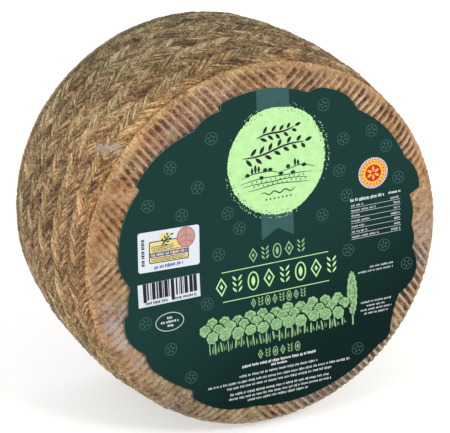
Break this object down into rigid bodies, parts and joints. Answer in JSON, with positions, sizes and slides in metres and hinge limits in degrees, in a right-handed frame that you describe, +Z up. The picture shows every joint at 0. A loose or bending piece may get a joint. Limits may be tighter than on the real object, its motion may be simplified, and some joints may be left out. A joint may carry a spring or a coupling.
{
  "type": "cheese wheel",
  "caption": "Whole wheel of hard cheese on its rim, with a plait print round the side, ridged faces and a scalloped film label.",
  "frame": {"origin": "bottom centre of the whole part, on the floor in the middle of the flat spot", "axes": "+Z up, wheel axis along Y, labelled face towards -Y, +X to the right of the label"},
  "size_m": [0.19, 0.1088, 0.1884],
  "materials": {
    "rind": "dry waxy rind with strand relief, olive brown to orange tan",
    "label_film": "satin printed film, dark green",
    "sticker_film": "semi-gloss white paper with print"
  },
  "bodies": {
    "root": {"cheese_wheel": "rind", "face_label": "label_film", "control_sticker": "sticker_film"}
  },
  "joints": []
}
